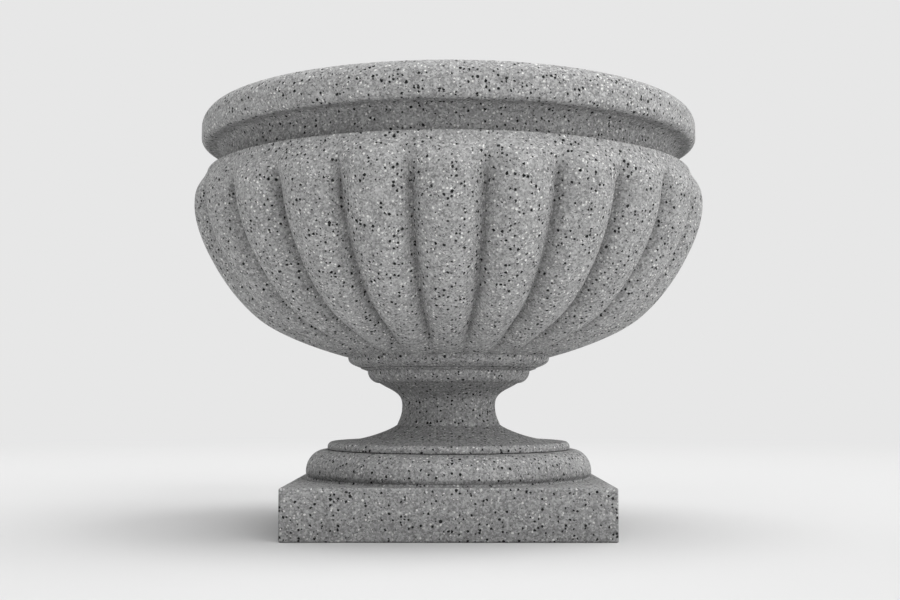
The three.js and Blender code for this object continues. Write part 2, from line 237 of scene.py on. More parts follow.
class BowlSettings(bpy.types.PropertyGroup):
    """The bowl's collar, gadroons, shoulder, neck, rim and planting hollow."""

    collar_radius: length("Collar radius", "Radius of the bowl's collar", 131.2 * MM)
    collar_reach: length("Collar reach", "Reach of the collar's rounded underside", 16.7 * MM)
    collar_run: length("Collar run", "How far out the underside keeps its slope", 9.2 * MM)
    collar_rise: length("Collar rise", "How far it rises on the way", 3.5 * MM)
    collar_round: length("Collar round", "Height of the collar's rounded underside", 12.7 * MM)
    collar_band: length("Collar band", "Height of the collar's upright band", 1.1 * MM)
    haunch_radius: length("Haunch radius", "Radius where the underside turns up", 248.1 * MM)
    haunch_height: length("Haunch height", "Rise from the collar to the haunch", 49.4 * MM)
    belly_radius: length("Belly radius", "Widest radius of the bowl", width("bowl") / 2)
    belly_height: length("Belly height", "Rise from the haunch to the widest line", 141.9 * MM)
    shoulder_radius: length("Shoulder radius", "Radius of the shoulder's top edge", 313.8 * MM)
    shoulder_height: length("Shoulder height", "Rise from the belly to the shoulder", 45.9 * MM)
    neck_radius: length("Neck radius", "Radius of the neck under the rim", 294 * MM)
    neck_height: length("Neck height", "Height of the neck", 33.1 * MM)
    neck_cove: length("Neck cove", "Rounding between the neck and the rim", 12 * MM)
    rim_radius: length("Rim radius", "Widest radius of the rim", 321.8 * MM)
    rim_crown: length("Rim crown", "Height of the rim's rounded top", 24.4 * MM)
    rim_reach: length("Rim reach", "Reach of the rim's rounded top", 24.3 * MM)
    rim_under: length("Rim under", "Rounding of the rim's lower edge", 8.8 * MM)
    underside_run: length("Underside run", "How far out the underside is nearly level", 34 * MM)
    underside_rise: length("Underside rise", "How far it rises on the way", 8.7 * MM)
    haunch_slope: angle("Haunch slope", "Slope of the haunch", 38)
    haunch_ease_below: length("Haunch ease below", "Straight reach below the haunch", 35.3 * MM)
    haunch_ease_above: length("Haunch ease above", "Straight reach above the haunch", 52.9 * MM)
    belly_ease_below: length("Belly ease below", "Upright reach below the belly", 43.8 * MM)
    belly_ease_above: length("Belly ease above", "Upright reach above the belly", 27.7 * MM)
    shoulder_bulge: length("Shoulder bulge", "How far the shoulder swells under its edge", 4.6 * MM)
    shoulder_ease: length("Shoulder ease", "How far under the edge it swells", 18.7 * MM)
    shoulder_arris: length("Shoulder arris", "Chamfer of the shoulder's top edge", 1.3 * MM)
    gadroon_count: IntProperty(
        name="Gadroons", description="Gadroons round the bowl", default=24, min=8
    )
    gadroon_depth: length("Gadroon depth", "Depth of the grooves at the belly", 23 * MM)
    gadroon_roundness: FloatProperty(
        name="Gadroon roundness",
        description="Section radius as a share of half a gadroon: 1 meets its neighbour upright",
        default=1.05,
        min=1.01,
    )
    groove_width: length("Groove width", "Width of a groove's rounded bottom", 2.8 * MM)
    groove_foot_share: factor("Groove foot share", "Depth left to the grooves at the collar", 0.3)
    gadroon_top_fade: length("Top fade", "Length in which the grooves deepen", 62 * MM)
    gadroon_foot_fade: length("Foot fade", "Width in which the grooves run out", 70 * MM)
    mouth_radius: length("Mouth radius", "Radius of the planting hollow's mouth", 262 * MM)
    mouth_round: length("Mouth round", "Rounding of the mouth's edge", 10 * MM)
    wall_foot_radius: length("Wall foot radius", "Hollow's radius at the wall's foot", 256 * MM)
    wall_foot_depth: length("Wall foot depth", "Depth of the upright wall", 127 * MM)
    wall_foot_tuck: length("Wall foot tuck", "How far the wall leans in below its foot", 6 * MM)
    wall_foot_ease: length("Wall foot ease", "Depth of that lean", 95 * MM)
    floor_run: length("Floor run", "How far out the floor stays nearly level", 90 * MM)
    floor_rise: length("Floor rise", "How far it rises on the way", 3 * MM)
    floor_radius: length("Floor radius", "Radius of the bowl's floor", 100 * MM)
    floor_height: length("Floor height", "Thickness under the floor", 60 * MM)
    floor_fall: length("Floor fall", "Fall of the floor to the sump", 2 * MM)
    sump_radius: length("Sump radius", "Radius of the drain sump", 49 * MM)
    sump_depth: length("Sump depth", "Depth of the sump under the ledge", 26 * MM)
    ledge_width: length("Ledge width", "Width of the grate's ledge", 13 * MM)
    ledge_depth: length("Ledge depth", "Depth of the grate's ledge", 5 * MM)


class FittingSettings(bpy.types.PropertyGroup):
    """The drain flange, the nuts, the grate's slots and its knob."""

    flange_plate: length("Flange plate", "Thickness of the flange's plate", 5 * MM)
    hub_flats: length("Hub flats", "Width of the flange's hexagon across its flats", 46 * MM)
    countersink: length("Countersink", "How much wider a nut's hole is at its ends", 2 * MM)
    spindle_radius: length("Spindle radius", "Radius of the knob's threaded spindle", 3 * MM)
    spindle_hole: length("Spindle hole", "Radius of the hole that the spindle passes", 3.3 * MM)
    slot_count: IntProperty(name="Slots", description="Slots in the grate", default=12, min=3)
    slot_start: length("Slot start", "Radius where a slot starts", 18 * MM)
    slot_end: length("Slot end", "Radius where a slot ends", 52 * MM)
    slot_width: length("Slot width", "Width of a slot", 5 * MM)
    knob_foot: factor("Knob foot", "Radius of the knob's foot as a share of its widest", 0.62)
    knob_neck: factor("Knob neck", "Radius of the knob's neck as a share of its widest", 0.42)
    knob_brim: factor("Knob brim", "Radius where the knob's head starts, as a share", 0.8)
    knob_edge: length("Knob edge", "Height of the rounded edge of the knob's head", 2.6 * MM)
    ring_edge: length("Ring edge", "Rounding of the rings' and gaskets' edges", 0.4 * MM)
    steel_edge: length("Steel edge", "Rounding of the turned steel's edges", 0.6 * MM)
    dowel_edge: length("Dowel edge", "Rounding of the dowels' ends", 0.8 * MM)


class StoneSettings(bpy.types.PropertyGroup):
    """Colours and grain sizes of the cast stone."""

    ground: colour("Ground", "Colour of the stone between its grains", "#aaaaaa")
    dark_grain: colour("Dark grain", "Colour of the black grains", "#1a1a1a")
    light_grain: colour("Light grain", "Colour of the white grains", "#f6f6f4")
    fine_size: length("Fine size", "Size of the fine grey grains", 1.8 * MM)
    fine_contrast: factor("Fine contrast", "How far the fine grains differ", 0.38)
    coarse_size: length("Coarse size", "Size of the coarser grey grains", 3.4 * MM)
    coarse_contrast: factor("Coarse contrast", "How far the coarser grains differ", 0.16)
    dark_spacing: length("Dark spacing", "Spacing of the black grains", 4.5 * MM)
    dark_radius: length("Dark radius", "Radius of the largest black grain", 2.1 * MM)
    speck_spacing: length("Speck spacing", "Spacing of the small dark specks", 2.9 * MM)
    speck_radius: length("Speck radius", "Radius of the largest small speck", 1.1 * MM)
    light_spacing: length("Light spacing", "Spacing of the white grains", 3.9 * MM)
    light_radius: length("Light radius", "Radius of the largest white grain", 1.7 * MM)
    grain_share: factor("Grain share", "Share of the places that hold a grain", 0.65)
    cloud_size: length("Cloud size", "Size of the faint cloudy patches", 42 * MM)
    cloud_contrast: factor("Cloud contrast", "How far the patches differ from each other", 0.09)
    ragged_size: length("Ragged size", "Size of the wobble along a grain's edge", 1.8 * MM)
    ragged_depth: length("Ragged depth", "Depth of the wobble along a grain's edge", 1.3 * MM)
    pit_size: length("Pit size", "Size of the pits in the matt skin", 2.2 * MM)
    pit_depth: length("Pit depth", "Depth of the pits in the matt skin", 0.35 * MM)
    grain_sink: factor("Grain sink", "How far a black grain lies under the skin", 0.35)
    # Painted shade: the next two settings give how far the ambient occlusion node looks and how
    # much it darkens the stone's colour in hollows, grooves and undersides.
    painted_shade_reach: length("Hollow reach", "How near a hollow's sides are for dust", 130 * MM)
    hollow_shade: factor("Hollow shade", "How much darker the stone is in its deepest hollows", 0.6)


class StageSettings(bpy.types.PropertyGroup):
    """Camera, floor and lamps."""

    camera_distance: length("Camera distance", "From the lens to the urn's axis", 1641.1 * MM)
    camera_height: length("Camera height", "Height of the lens above the floor", 170.24 * MM)
    camera_side: length("Camera side", "How far right of the axis the lens stands", 1.84 * MM)
    camera_tilt: angle("Camera tilt", "Upward tilt", 4.285)
    lens: FloatProperty(name="Lens", description="Focal length in millimetres", default=50.0)
    floor_tone: colour("Floor tone", "Colour of the pale floor", "#dedede")
    backdrop_tone: colour("Backdrop tone", "Colour of the plain backdrop", "#e7e7e7")
    lamp_level: factor("Lamp level", "Strength of all the lamps together", 1.0)
    lamp_spread: angle("Lamp spread", "How wide each lamp is", 40)
    sky_level: factor("Sky level", "Strength of the soft light all round", 0.12)
    floor_radius: length("Floor radius", "Radius of the floor", 14.0)
    fade_start: length("Fade start", "Where the floor starts to fade into the backdrop", 0.9)
    fade_end: length("Fade end", "Where the floor has the backdrop's colour", 3.2)


# Materials -----------------------------------------------------------------------------


def add_node(tree, kind, values=None, links=None, **settings):
    """Adds a node, sets it, fills its sockets and links what feeds them."""
    node = tree.nodes.new(kind)
    for key, value in settings.items():
        setattr(node, key, value)
    for socket, value in (values or {}).items():
        node.inputs[socket].default_value = value
    for socket, source in (links or {}).items():
        tree.links.new(source, node.inputs[socket])
    return node


def new_material(name, **shader):
    """A material with a Principled shader, and the shader's constants on its own sockets."""
    material = bpy.data.materials.new(name)
    material.use_nodes = True
    tree = material.node_tree
    principled = tree.nodes["Principled BSDF"]
    for socket, value in shader.items():
        principled.inputs[socket.replace("_", " ")].default_value = value
    return material, tree, principled


def millimetres(tree):
    """Object coordinates counted in millimetres, so that a pattern's scale is one over its size."""
    place = add_node(tree, "ShaderNodeTexCoord").outputs["Object"]
    scale = {"Scale": 1 / MM}
    return add_node(tree, "ShaderNodeVectorMath", scale, {0: place}, operation="SCALE").outputs[0]


def math_node(tree, operation, first, second, clamp=False):
    """One sum: each side is a number or a socket."""
    node = add_node(tree, "ShaderNodeMath", operation=operation, use_clamp=clamp)
    for slot, side in enumerate((first, second)):
        if isinstance(side, (int, float)):
            node.inputs[slot].default_value = side
        else:
            tree.links.new(side, node.inputs[slot])
    return node.outputs[0]


def grains(tree, place, spacing, share, radius, shift):
    """Scattered grains, as a mask and a random value for each grain.

    Each cell, spacing wide, may hold one grain, and share is the part of the cells that do.
    The grains run from nothing to the full radius. Lengths are in metres, and shift, which
    moves the whole layer, is in millimetres.
    """
    shifted = add_node(
        tree, "ShaderNodeVectorMath", {1: shift * SHIFT_WAY}, {0: place}, operation="ADD"
    ).outputs[0]
    cells = add_node(tree, "ShaderNodeTexVoronoi", {"Scale": MM / spacing}, {"Vector": shifted})
    split = add_node(tree, "ShaderNodeSeparateColor", links={0: cells.outputs["Color"]})
    above = math_node(tree, "SUBTRACT", split.outputs[0], 1 - share)
    reach = math_node(tree, "MULTIPLY", above, radius / spacing / share)
    inside = math_node(tree, "SUBTRACT", reach, cells.outputs["Distance"])
    mask = math_node(tree, "DIVIDE", inside, GRAIN_EDGE / spacing, clamp=True)
    return mask, split.outputs[1]


def grey_cells(tree, place, size, contrast):
    """Packed cells, each a little lighter or darker than 1."""
    cells = add_node(tree, "ShaderNodeTexVoronoi", {"Scale": MM / size}, {"Vector": place})
    split = add_node(tree, "ShaderNodeSeparateColor", links={0: cells.outputs["Color"]})
    return spread(tree, split.outputs[0], 1 - contrast, 1 + contrast)


def mixed(tree, part, first, second, blend="MIX"):
    """Two colours mixed, with the second's part a number or a socket; so are the colours.

    A mix of colours has its part on socket 0, its colours on 6 and 7, and its result on 2.
    """
    node = add_node(tree, "ShaderNodeMix", data_type="RGBA", blend_type=blend)
    for slot, side in ((0, part), (6, first), (7, second)):
        if isinstance(side, bpy.types.NodeSocket):
            tree.links.new(side, node.inputs[slot])
        else:
            node.inputs[slot].default_value = (*side, 1.0) if slot else side
    return node.outputs[2]


def noise(tree, place, size, detail):
    """A cloudy noise between 0 and 1, with patches of a size in metres."""
    settings = {"Scale": MM / size, "Detail": detail}
    return add_node(tree, "ShaderNodeTexNoise", settings, {"Vector": place})


def spread(tree, value, least, most):
    """A value between 0 and 1 spread from a least to a most."""
    limits = {"To Min": least, "To Max": most}
    return add_node(tree, "ShaderNodeMapRange", limits, {"Value": value}).outputs[0]


def grey(tree, level):
    """A grey of a level."""
    return add_node(tree, "ShaderNodeCombineColor", links={0: level, 1: level, 2: level}).outputs[0]


def roughen(tree, principled, height, strength, depth):
    """Bump on a shader's surface, from a height between 0 and 1."""
    settings = {"Strength": strength, "Distance": depth}
    bump = add_node(tree, "ShaderNodeBump", settings, {"Height": height})
    tree.links.new(bump.outputs[0], principled.inputs["Normal"])


def granite_cast_stone(stone):
    """Cast stone with granite chips, wet cast in a smooth mould and lightly etched.

    The eye gets a matt mid grey, mottled like sandpaper, with black and white grains of
    one to three millimetres scattered evenly through it. Shade is painted into its colour:
    an ambient occlusion node darkens its hollows, grooves and undersides from the shape alone.
    """
    material, tree, principled = new_material(
        "granite_cast_stone", Roughness=0.85, Specular_IOR_Level=0.2
    )
    place = millimetres(tree)
    wobble = noise(tree, place, stone.ragged_size, 2.0).outputs["Color"]
    centred = add_node(
        tree, "ShaderNodeVectorMath", {1: (0.5, 0.5, 0.5)}, {0: wobble}, operation="SUBTRACT"
    )
    ragged = add_node(
        tree,
        "ShaderNodeVectorMath",
        {1: (2 * stone.ragged_depth / MM,) * 3},
        {0: centred.outputs[0], 2: place},
        operation="MULTIPLY_ADD",
    ).outputs[0]

    fine = grey_cells(tree, ragged, stone.fine_size, stone.fine_contrast)
    coarse = grey_cells(tree, ragged, stone.coarse_size, stone.coarse_contrast)
    cloud = noise(tree, place, stone.cloud_size, 3.0).outputs[0]
    clouds = spread(tree, cloud, 1 - stone.cloud_contrast, 1 + stone.cloud_contrast)
    tone = math_node(tree, "MULTIPLY", math_node(tree, "MULTIPLY", fine, coarse), clouds)
    body = mixed(tree, 1.0, tuple(stone.ground), grey(tree, tone), "MULTIPLY")

    share = stone.grain_share
    black, white = tuple(stone.dark_grain), tuple(stone.light_grain)
    specks, speck_shade = grains(
        tree, ragged, stone.speck_spacing, share, stone.speck_radius, SPECK_SHIFT
    )
    dark, dark_shade = grains(tree, ragged, stone.dark_spacing, share, stone.dark_radius, 0.0)
    light, light_shade = grains(
        tree, ragged, stone.light_spacing, share, stone.light_radius, LIGHT_SHIFT
    )
    speck_level = math_node(tree, "MULTIPLY", specks, speck_shade)
    dark_tone = mixed(tree, dark_shade, black, tuple(c * DARK_PALEST for c in black))
    light_tone = mixed(tree, light_shade, white, tuple(c * LIGHT_DULLEST for c in white))
    with_light = mixed(tree, light, body, light_tone)
    with_specks = mixed(tree, speck_level, with_light, black)
    with_dark = mixed(tree, dark, with_specks, dark_tone)

    # Painted shade: ambient occlusion darkens the base colour in the hollows, grooves and
    # undersides, where shade falls.
    reach = {"Distance": stone.painted_shade_reach}
    openness = add_node(tree, "ShaderNodeAmbientOcclusion", reach, samples=4).outputs["AO"]
    dust = grey(tree, spread(tree, openness, 1 - stone.hollow_shade, 1.0))
    with_painted_shade = mixed(tree, 1.0, with_dark, dust, "MULTIPLY")
    tree.links.new(with_painted_shade, principled.inputs["Base Color"])

    skin = noise(tree, place, stone.pit_size, 4.0).outputs[0]
    sunk = math_node(tree, "MULTIPLY", dark, stone.grain_sink)
    roughen(tree, principled, math_node(tree, "SUBTRACT", skin, sunk), 0.6, stone.pit_depth)
    return material


def satin_stainless():
    """Stainless steel, turned and left satin.

    The eye gets a pale grey metal with fine turning lines round the axis.
    """
    material, tree, principled = new_material(
        "satin_stainless", Base_Color=(*srgb("#c3c5c8"), 1.0), Metallic=1.0
    )
    place = millimetres(tree)
    lines = add_node(
        tree,
        "ShaderNodeTexWave",
        {"Scale": WAVE_PERIOD * MM / TURNING_LINE, "Distortion": 1.5, "Detail": 2.0},
        {"Vector": place},
        wave_type="RINGS",
        rings_direction="Z",
    )
    smudge = noise(tree, place, SMUDGE_SIZE, 3.0).outputs[0]
    level = spread(tree, smudge, STEEL_SMOOTHEST, STEEL_ROUGHEST)
    tree.links.new(level, principled.inputs["Roughness"])
    roughen(tree, principled, lines.outputs[0], 0.25, TURNING_DEPTH)
    return material


def butyl_rubber():
    """Black butyl rubber, cut from sheet.

    The eye gets a soft near-black with a dusty, slightly uneven skin.
    """
    material, tree, principled = new_material("butyl_rubber", Roughness=0.7)
    dust = noise(tree, millimetres(tree), RUBBER_DUST_SIZE, 5.0).outputs[0]
    tone = mixed(tree, dust, srgb("#1c1c1d"), srgb("#3a3a3b"))
    tree.links.new(tone, principled.inputs["Base Color"])
    roughen(tree, principled, dust, 0.3, RUBBER_SKIN_DEPTH)
    return material


FINISHES = {
    "granite_cast_stone": ("cast_stone", lambda: granite_cast_stone(bpy.context.scene.urn_stone)),
    "satin_stainless": ("stainless_steel", satin_stainless),
    "butyl_rubber": ("bedding_rubber", butyl_rubber),
}


def finish_material(name):
    """A finish's material, made the first time that a piece asks for it."""
    return bpy.data.materials.get(name) or FINISHES[name][1]()


# Outlines and meshes -------------------------------------------------------------------


def place_at(radius, height):
    return Vector((0.0, -radius, height))


class Outline:
    """A line of points in radius and height, drawn stretch by stretch."""

    def __init__(self, radius, height):
        self.points = [place_at(radius, height)]

    def line(self, radius, height):
        self.points.append(place_at(radius, height))

    def curve(self, first, second, end, steps=CURVE_STEPS):
        """A stretch with two handles, each given as radius and height."""
        knots = [place_at(*p) for p in (first, second, end)]
        self.points += interpolate_bezier(self.points[-1], *knots, steps + 1)[1:]

    def round(self, radius, height, upright, steps=ROUND_STEPS):
        """A quarter of an ellipse that leaves upright or level."""
        start_radius, start_height = -self.points[-1].y, self.points[-1].z
        across = (radius - start_radius) * QUARTER_REACH
        up = (height - start_height) * QUARTER_REACH
        if upright:
            first, second = (start_radius, start_height + up), (radius - across, height)
        else:
            first, second = (start_radius + across, start_height), (radius, height - up)
        self.curve(first, second, (radius, height), steps)


def corners_of(bm, least):
    """The vertices where a drawn line turns by more than an angle."""

    def turn_at(vertex):
        before, after = [e.other_vert(vertex).co - vertex.co for e in vertex.link_edges]
        return math.pi - before.angle(after)

    return [v for v in bm.verts if len(v.link_edges) == 2 and turn_at(v) > least]


def spun(outline, steps, soft=0.0, closed=True):
    """A bmesh with the outline spun about the Z axis, its corners softened first.

    A twelfth of the turn is spun from the outline, and the rest is that twelfth set round.
    """
    bm = bmesh.new()
    chain = [bm.verts.new(p) for p in outline.points]
    for first, second in zip(chain, chain[1:]):
        bm.edges.new((first, second))
    if closed:
        bm.edges.new((chain[-1], chain[0]))
    if soft:
        bmesh.ops.bevel(
            bm,
            geom=corners_of(bm, CORNER_ANGLE),
            offset=soft,
            segments=ARRIS_SEGMENTS,
            profile=0.5,
            affect="VERTICES",
            material=-1,
        )
    turning = {"cent": (0, 0, 0), "axis": (0, 0, 1)}
    sector = max(steps // SECTORS, 1)
    bmesh.ops.spin(
        bm, geom=bm.verts[:] + bm.edges[:], angle=FULL_TURN / SECTORS, steps=sector, **turning
    )
    bmesh.ops.spin(
        bm,
        geom=bm.verts[:] + bm.edges[:] + bm.faces[:],
        angle=FULL_TURN,
        steps=SECTORS,
        use_duplicate=True,
        use_merge=True,
        **turning,
    )
    bmesh.ops.remove_doubles(bm, verts=bm.verts, dist=WELD_GAP)
    bmesh.ops.recalc_face_normals(bm, faces=bm.faces)
    if bm.calc_volume(signed=True) < 0:
        bmesh.ops.reverse_faces(bm, faces=bm.faces)
    return bm


def object_from(bm, name):
    mesh = bpy.data.meshes.new(name)
    bm.to_mesh(mesh)
    bm.free()
    piece = bpy.data.objects.new(name, mesh)
    bpy.context.scene.collection.objects.link(piece)
    return piece


def bake_modifiers(piece):
    """The piece's mesh with its modifiers applied, in place of the plain one."""
    graph = bpy.context.evaluated_depsgraph_get()
    mesh = bpy.data.meshes.new_from_object(piece.evaluated_get(graph))
    old = piece.data
    piece.modifiers.clear()
    piece.data = mesh
    bpy.data.meshes.remove(old)
    mesh.name = piece.name


def carve(piece, tool_mesh, operation="DIFFERENCE"):
    """Cuts or joins a closed tool mesh and the piece."""
    tool = object_from(tool_mesh, "tool")
    modifier = piece.modifiers.new("carve", "BOOLEAN")
    modifier.operation = operation
    modifier.solver = "MANIFOLD"
    modifier.object = tool
    bake_modifiers(piece)
    tool_data = tool.data
    bpy.data.objects.remove(tool)
    bpy.data.meshes.remove(tool_data)


def cylinder(radius, bottom, top, centre):
    """A capped cylinder that stands upright, as a bmesh."""
    bm = bmesh.new()
    bmesh.ops.create_cone(
        bm,
        cap_ends=True,
        segments=HOLE_STEPS,
        radius1=radius,
        radius2=radius,
        depth=top - bottom,
        matrix=Matrix.Translation((*centre, (top + bottom) / 2)),
    )
    return bm


def merge_slivers(piece):
    """Takes out the slivers that cutting leaves."""
    bm = bmesh.new()
    bm.from_mesh(piece.data)
    bmesh.ops.remove_doubles(bm, verts=bm.verts, dist=MERGE_GAP)
    bmesh.ops.dissolve_degenerate(bm, edges=bm.edges, dist=MERGE_GAP)
    bm.to_mesh(piece.data)
    bm.free()


def finish_piece(piece, finish, body, *nodes):
    """Shades a finished piece, gives it its finish, ties it to its body and hides the nodes that it
    replaces.
    """
    if not piece.data.polygons:
        raise RuntimeError(f"{piece.name} has no faces left")
    merge_slivers(piece)
    piece.data.materials.clear()
    piece.data.materials.append(finish_material(finish))
    for polygon in piece.data.polygons:
        polygon.use_smooth = True
    piece.data.set_sharp_from_angle(angle=SHARP_ANGLE)
    weighted = piece.modifiers.new("even_shading", "WEIGHTED_NORMAL")
    weighted.keep_sharp = True
    bake_modifiers(piece)
    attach(piece, body)
    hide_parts(*nodes)


def bed_groove(outline, node, top):
    """Steps an outline down into the groove of a bedding ring, on its way in along a top face."""
    outer = high(node).x + FIT_GAP
    inner = low_radius(node) - FIT_GAP
    floor = low(node).z - SEAT_GAP
    outline.line(outer, top)
    outline.line(outer, floor)
    outline.line(inner, floor)
    outline.line(inner, top)


def low_radius(node):
    """The smallest radius of a turned node."""
    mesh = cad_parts[node].data
    return min(math.hypot(v.co.x, v.co.y) for v in mesh.vertices)


def bore_radius():
    """Radius of the bore that the tie tube passes."""
    return high("drain_tube").x + BORE_GAP


def dowel_holes(piece, nodes, bottom, top):
    """Cuts the holes of the dowels into a casting."""
    for node in nodes:
        centre = (low(node) + high(node)) / 2
        radius = (high(node).y - low(node).y) / 2 + FIT_GAP
        carve(piece, cylinder(radius, bottom, top, (centre.x, centre.y)))


# Castings ------------------------------------------------------------------------------

PLINTH_TOP = high("plinth").z
SOCLE_BASE = low("socle").z
SOCLE_TOP = high("socle").z
BOWL_BASE = low("bowl").z
RIM_TOP = high("bowl").z


def cushion_outline(p):
    """The cushion moulding as a solid that starts inside the slab."""
    widest = p.slab_height + p.cushion_foot
    foot = p.cushion_radius - p.cushion_tuck
    outline = Outline(0.0, p.slab_height / 2)
    outline.line(foot + p.cushion_cove, p.slab_height / 2)
    outline.line(foot + p.cushion_cove, p.slab_height - p.cove_bite)
    outline.round(foot, p.slab_height + p.cushion_cove, upright=False, steps=SMALL_ROUND_STEPS)
    outline.curve(
        (foot, p.slab_height + p.cushion_cove),
        (p.cushion_radius, widest - p.cushion_tuck),
        (p.cushion_radius, widest),
        SMALL_ROUND_STEPS,
    )
    outline.round(p.cushion_radius - p.crown_reach, widest + p.crown_height, upright=True)
    bed_groove(outline, "socle_bed_ring", PLINTH_TOP)
    outline.line(0.0, PLINTH_TOP)
    return outline


def slab_mesh(p):
    bm = bmesh.new()
    size = Matrix.Diagonal((p.slab_width, p.slab_width, p.slab_height, 1.0))
    stand = Matrix.Translation((0, 0, p.slab_height / 2))
    bmesh.ops.create_cube(bm, size=1.0, matrix=stand @ size)
    bmesh.ops.bevel(
        bm,
        geom=bm.edges[:],
        offset=p.slab_arris,
        segments=SLAB_ARRIS_SEGMENTS,
        profile=0.5,
        affect="EDGES",
        material=-1,
    )
    return bm


def hollow_mesh(p):
    """The hollow under the slab, with a little over at the floor."""
    outline = Outline(0.0, -OVERCUT)
    outline.line(p.hollow_mouth, -OVERCUT)
    outline.line(p.hollow_mouth, 0.0)
    outline.line(p.hollow_top, p.hollow_depth)
    outline.line(p.well_radius, p.hollow_depth)
    outline.line(p.well_radius, p.well_height)
    outline.line(bore_radius(), p.well_height)
    outline.line(bore_radius(), PLINTH_TOP + OVERCUT)
    outline.line(0.0, PLINTH_TOP + OVERCUT)
    return spun(outline, CASTING_STEPS, closed=False)


class URN_OT_plinth(bpy.types.Operator):
    """Build the square plinth with its cushion moulding and the hollow underneath"""

    bl_idname = "urn.plinth"
    bl_label = "Plinth"

    def execute(self, context):
        p = context.scene.urn_plinth
        piece = object_from(slab_mesh(p), "plinth_casting")
        carve(piece, spun(cushion_outline(p), CASTING_STEPS, closed=False), "UNION")
        carve(piece, hollow_mesh(p))
        hole_bottom = low("socle_dowel_1").z - FIT_GAP
        dowel_holes(piece, ("socle_dowel_1", "socle_dowel_2"), hole_bottom, PLINTH_TOP + OVERCUT)
        finish_piece(piece, "granite_cast_stone", "urn", "plinth")
        return {"FINISHED"}


def socle_outline(s):
    foot = high("socle").x
    lip_top = SOCLE_BASE + s.lip_height
    knee = lip_top + s.knee_height
    waist = knee + s.waist_height
    throat = waist + s.throat_height
    collar_foot = throat + s.collar_tuck
    flare_start = foot - s.lip_round
    outline = Outline(bore_radius(), SOCLE_BASE)
    outline.line(foot - s.lip_under, SOCLE_BASE)
    outline.round(foot, SOCLE_BASE + s.lip_under, upright=False, steps=SMALL_ROUND_STEPS)
    outline.line(foot, lip_top - s.lip_round)
    outline.round(flare_start, lip_top, upright=True)
    outline.curve(
        (flare_start - s.flare_run, lip_top - s.flare_fall),
        (s.knee_radius + s.knee_run, knee - s.knee_drop),
        (s.knee_radius, knee),
        CURVE_STEPS * 2,
    )
    outline.curve(
        (s.knee_radius - s.knee_turn_in, knee + s.knee_turn_up),
        (s.waist_radius, waist - s.waist_ease),
        (s.waist_radius, waist),
    )
    outline.curve(
        (s.waist_radius, waist + s.throat_ease),
        (s.waist_radius + s.throat_turn_out, throat - s.throat_turn_drop),
        (s.throat_radius, throat),
    )
    outline.line(s.collar_radius - s.collar_reach, collar_foot)
    outline.round(s.collar_radius, collar_foot + s.collar_round, upright=False)
    outline.line(s.collar_radius, SOCLE_TOP - s.splay_height)
    outline.line(s.collar_radius + s.splay_reach, SOCLE_TOP - CASTING_ARRIS)
    outline.line(s.collar_radius + s.splay_reach, SOCLE_TOP)
    bed_groove(outline, "bowl_bed_ring", SOCLE_TOP)
    outline.line(bore_radius(), SOCLE_TOP)
    return outline


class URN_OT_socle(bpy.types.Operator):
    """Build the socle with its flared foot, waisted stem and collar"""

    bl_idname = "urn.socle"
    bl_label = "Socle"

    def execute(self, context):
        s = context.scene.urn_socle
        turned = spun(socle_outline(s), CASTING_STEPS, soft=CASTING_ARRIS)
        piece = object_from(turned, "socle_casting")
        lower_top = high("socle_dowel_1").z + FIT_GAP
        upper_bottom = low("bowl_dowel_1").z - FIT_GAP
        dowel_holes(piece, ("socle_dowel_1", "socle_dowel_2"), SOCLE_BASE - OVERCUT, lower_top)
        dowel_holes(piece, ("bowl_dowel_1", "bowl_dowel_2"), upper_bottom, SOCLE_TOP + OVERCUT)
        finish_piece(piece, "granite_cast_stone", "urn", "socle")
        return {"FINISHED"}


def bowl_heights(b):
    """Heights of the bowl's main lines above the floor."""
    collar = BOWL_BASE + b.collar_round + b.collar_band
    haunch = collar + b.haunch_height
    belly = haunch + b.belly_height
    shoulder = belly + b.shoulder_height
    return collar, haunch, belly, shoulder, shoulder + b.neck_height


def bowl_outline(b):
    collar, haunch, belly, shoulder, neck = bowl_heights(b)
    haunch_way = Vector((math.cos(b.haunch_slope), math.sin(b.haunch_slope)))
    haunch_at = Vector((b.haunch_radius, haunch))
    outline = Outline(bore_radius(), BOWL_BASE)
    underside = b.collar_radius - b.collar_reach
    outline.line(underside, BOWL_BASE)
    outline.curve(
        (underside + b.collar_run, BOWL_BASE + b.collar_rise),
        (b.collar_radius, BOWL_BASE + b.collar_round * (1 - QUARTER_REACH)),
        (b.collar_radius, BOWL_BASE + b.collar_round),
    )
    outline.line(b.collar_radius, collar)
    outline.curve(
        (b.collar_radius + b.underside_run, collar + b.underside_rise),
        haunch_at - haunch_way * b.haunch_ease_below,
        haunch_at,
        CURVE_STEPS,
    )
    outline.curve(
        haunch_at + haunch_way * b.haunch_ease_above,
        (b.belly_radius, belly - b.belly_ease_below),
        (b.belly_radius, belly),
        CURVE_STEPS * 2,
    )
    outline.curve(
        (b.belly_radius, belly + b.belly_ease_above),
        (b.shoulder_radius + b.shoulder_bulge, shoulder - b.shoulder_ease),
        (b.shoulder_radius, shoulder - b.shoulder_arris),
        CURVE_STEPS,
    )
    outline.line(b.shoulder_radius - b.shoulder_arris, shoulder)
    outline.line(b.neck_radius, shoulder)
    outline.line(b.neck_radius, neck - b.neck_cove)
    outline.round(b.neck_radius + b.neck_cove, neck, upright=True, steps=SMALL_ROUND_STEPS)
    outline.line(b.rim_radius - b.rim_under, neck)
    outline.round(b.rim_radius, neck + b.rim_under, upright=False, steps=SMALL_ROUND_STEPS)
    outline.line(b.rim_radius, RIM_TOP - b.rim_crown)
    outline.round(b.rim_radius - b.rim_reach, RIM_TOP, upright=True)
    add_hollow(outline, b)
    return outline


